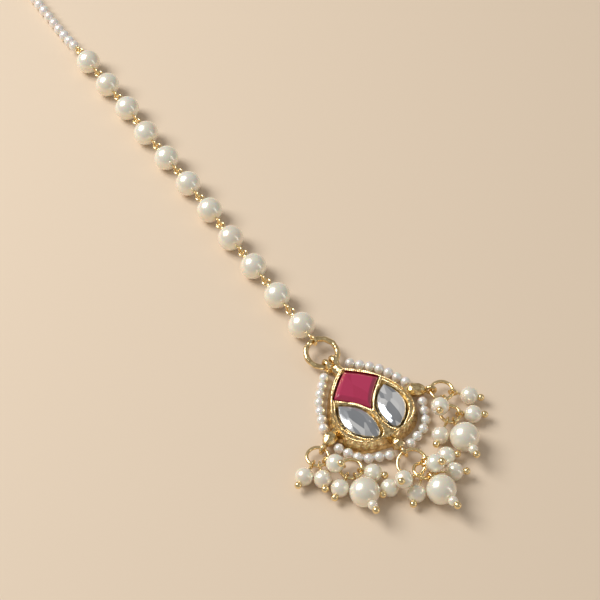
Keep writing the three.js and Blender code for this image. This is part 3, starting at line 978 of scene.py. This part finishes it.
@dataclass
class Drops:
    """The pearl drops of the three clusters."""

    finishes: Finishes
    places: dict[str, RingPlace]
    ball: float = 0.78
    loop: float = 0.84
    tip: float = 1.05
    hung: dict[str, tuple[str, ...]] = field(default_factory=lambda: {
        "left_ring_upper": ("left_drop_1", "left_drop_2", "left_drop_3"),
        "left_ring_lower": ("left_drop_4", "left_drop_5", "left_main_drop"),
        "bottom_ring_upper": ("bottom_drop_1", "bottom_drop_2", "bottom_drop_4",
                              "bottom_drop_5"),
        "bottom_ring_lower": ("bottom_drop_3", "bottom_drop_6", "bottom_main_drop"),
        "right_ring_upper": ("right_drop_1", "right_drop_3"),
        "right_ring_lower": ("right_drop_2", "right_drop_4", "right_main_drop"),
    })

    def drop(self, name: str, ring: RingPlace, main: bool) -> None:
        """One drop: its pearl, and the gold head pin through it."""
        radius = 3.15 if main else 1.95
        tail = 2 * self.tip - 0.1 if main else 0.0
        end = max(node_points(name), key=lambda point: (point - ring.centre).length)
        point, tangent = ring.facing(end)
        axis = end - point
        reach = axis.length - self.ball * 1.7 - radius - tail
        place = frame_at(point, axis, tangent)
        pearls = [bead(radius, 48 if main else 40, 32 if main else 26)]
        pearls[0].data.transform(Matrix.Translation((0, 0, reach)))
        if main:
            pearls.append(bead(self.tip, 28, 18))
            pearls[1].data.transform(Matrix.Translation((0, 0, reach + radius + self.tip - 0.1)))
        nacre = joined(pearls)
        nacre.data.transform(place)
        finish_piece(nacre, f"{name}_pearl", self.finishes.pearl, (name,))
        foot = reach + radius + tail
        head = bead(self.ball, 24, 16, drilled=False)
        head.data.transform(Matrix.Translation((0, 0, foot + self.ball * 0.7)))
        pin = [upright_loop(self.loop, 0.25), rod(0.25, self.loop, foot + 0.3), head]
        metal = joined(pin)
        metal.data.transform(place)
        finish_piece(metal, f"{name}_pin", self.finishes.wire, (name,))

    def build(self) -> None:
        """Builds every drop on its ring."""
        for ring, names in self.hung.items():
            for name in names:
                self.drop(name, self.places[ring], "main" in name)


# ---- the chain ----
@dataclass
class Chain:
    """Pearls on eye pins, linked loop through loop."""

    finishes: Finishes
    top_ring: RingPlace
    radius: float = 3.0
    count: int = 11
    reach: float = 4.65

    def eye_pin(self, near: Vector, far: Vector, near_radius: float) -> bpy.types.Object:
        """A pin with an upright loop at its near end and a flat one at its far end."""
        axis = far - near
        first = upright_loop(near_radius, 0.25)
        second = upright_loop(0.85, 0.25)
        turn = Matrix.Rotation(math.pi / 2, 4, "Z") @ Matrix.Rotation(math.pi, 4, "X")
        second.data.transform(Matrix.Translation((0, 0, axis.length)) @ turn)
        piece = joined([first, second, rod(0.25, near_radius, axis.length - 0.85)])
        piece.data.transform(frame_at(near, axis, axis.cross(UP)))
        return piece

    def build(self) -> None:
        """Builds the pearls and their pins from the pendant outwards."""
        model = bead(self.radius, 56, 36)
        names = [f"chain_pearl_{index + 1:02d}" for index in range(self.count)]
        centres = [middle_of(name) for name in names]
        axis = (centres[-1] - centres[0]).normalized()
        for index, (name, centre) in enumerate(zip(names, centres)):
            spin = Matrix.Rotation(index * 2.1, 4, "Z")
            piece = copied(model, frame_at(centre, axis, UP) @ spin)
            finish_piece(piece, f"{name}_fine", self.finishes.pearl, (name,))
            near = centre - axis * self.reach
            near_radius = 0.85
            if index == 0:
                near, _ = self.top_ring.facing(centre)
                near_radius = 1.08
            pin = self.eye_pin(near, centre + axis * self.reach, near_radius)
            pin_name = f"eye_pin_{index + 1:02d}"
            finish_piece(pin, f"{pin_name}_fine", self.finishes.wire,
                         (pin_name,))
        bpy.data.objects.remove(model)


@dataclass
class FarEnd:
    """The string of small beads and the hook beyond the chain."""

    finishes: Finishes
    radius: float = 1.38

    def build(self) -> None:
        """Builds the beads on their wire, then the hook."""
        tops = bead_tops("end_string", 1.1, 2.5, 3.8)
        spots = sorted((top - UP * self.radius for top in tops), key=lambda spot: spot.y)
        axis = (spots[-1] - spots[0]).xy.to_3d().normalized()
        across = axis.cross(UP)
        model = bead(self.radius, 28, 18, drilled=False)
        beads = [copied(model, Matrix.Translation(spot)) for spot in spots]
        bpy.data.objects.remove(model)
        start = spots[0] - axis * 2.5 + UP * 0.5
        finish = spots[-1] + axis * 2.4
        route = smooth_route([start + axis * 0.85, *spots, finish - axis * 0.85], 6)
        near = upright_loop(0.85, 0.25)
        near.data.transform(frame_at(start, axis, across))
        far = upright_loop(0.85, 0.25)
        far.data.transform(frame_at(finish, -axis, UP))
        finish_piece(joined(beads), "end_string_beads", self.finishes.seed,
                     ("end_string",))
        wire = wire_along(route, [0.3] * len(route), closed=False)
        finish_piece(joined([wire, near, far]), "end_string_wire", self.finishes.wire,
                     ("end_string",))
        eye = finish + axis
        steps = [(0.8, 0, 1.3), (3.5, 0, 0.75), (12.5, 0.2, 0.6), (15.6, 0.9, 0.6),
                 (16.6, 2.1, 0.6), (15.6, 3.3, 0.6), (12.5, 3.9, 0.6), (8.0, 4.3, 0.6)]
        bends = [(eye + axis * along + across * side).xy.to_3d() + UP * height
                 for along, side, height in steps]
        path = smooth_route(bends, 10)
        hook = wire_along(path, [0.5] * len(path), closed=False, resolution=4)
        ring = open_ring(0.9, 0.32, 0.01, 36, 12)
        ring.data.transform(frame_at(eye, axis, across) @ Matrix.Rotation(math.pi / 2, 4, "X"))
        finish_piece(joined([hook, ring]), "hook_fine", self.finishes.wire,
                     ("hook",))


# ---- the studio ----
@dataclass(frozen=True)
class Softbox:
    """A square area light aimed at a point of the object."""

    name: str
    direction: tuple[float, float, float]
    distance: float
    width: float
    height: float
    power: float

    def build(self, aim: Vector) -> None:
        """Hangs the light."""
        light = bpy.data.lights.new(self.name, "AREA")
        light.shape = "RECTANGLE"
        light.size, light.size_y, light.energy = self.width, self.height, self.power
        lamp = bpy.data.objects.new(self.name, light)
        away = Vector(self.direction).normalized()
        lamp.location = aim + away * self.distance
        lamp.rotation_euler = away.to_track_quat("Z", "Y").to_euler()
        bpy.context.collection.objects.link(lamp)


@dataclass
class Studio:
    """The pale table, the lights and the camera."""

    aim: Vector = field(default_factory=lambda: Vector((0.0035, 0.033, 0)))

    def table(self) -> None:
        """A wide plain floor."""
        clear_selection()
        bpy.ops.mesh.primitive_plane_add(size=6, location=(0, 0, 0))
        floor = bpy.context.object
        floor.name = "floor"
        material = bpy.data.materials.new("table")
        material.use_nodes = True
        shader = material.node_tree.nodes["Principled BSDF"]
        shader.inputs["Base Color"].default_value = (0.80, 0.65, 0.49, 1)
        shader.inputs["Roughness"].default_value = 0.7
        floor.data.materials.append(material)

    def build(self) -> None:
        """Sets the table, the lights and the camera."""
        self.table()
        Softbox("key", (-0.43, 0.50, 0.74), 0.8, 0.46, 0.46, 5.3).build(self.aim)
        Softbox("strip", (0.58, -0.72, 0.40), 0.7, 0.06, 0.6, 0.35).build(self.aim)
        world = bpy.data.worlds.new("room")
        world.use_nodes = True
        world.node_tree.nodes["Background"].inputs["Color"].default_value = (1, 0.97, 0.93, 1)
        world.node_tree.nodes["Background"].inputs["Strength"].default_value = 0.33
        scene = bpy.context.scene
        scene.world = world
        scene.view_settings.view_transform = "Standard"
        data = bpy.data.cameras.new("camera")
        data.lens = 93
        camera = bpy.data.objects.new("camera", data)
        camera.location = (-0.11085, -0.1572, 0.2742)
        camera.rotation_euler = (math.radians(39), 0, math.radians(-31))
        bpy.context.collection.objects.link(camera)
        scene.camera = camera


def main() -> None:
    """Builds the object's fine pieces over the frame and sets the studio."""
    logging.basicConfig(level=logging.INFO)
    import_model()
    finishes = Finishes()
    Setting(finishes).build()
    Stones(finishes).build()
    SeedStrings(finishes).build()
    rings = Rings(finishes)
    rings.build()
    Drops(finishes, rings.places).build()
    Chain(finishes, rings.places["top_ring"]).build()
    FarEnd(finishes).build()
    Studio().build()
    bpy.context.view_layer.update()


if __name__ == "__main__":
    main()
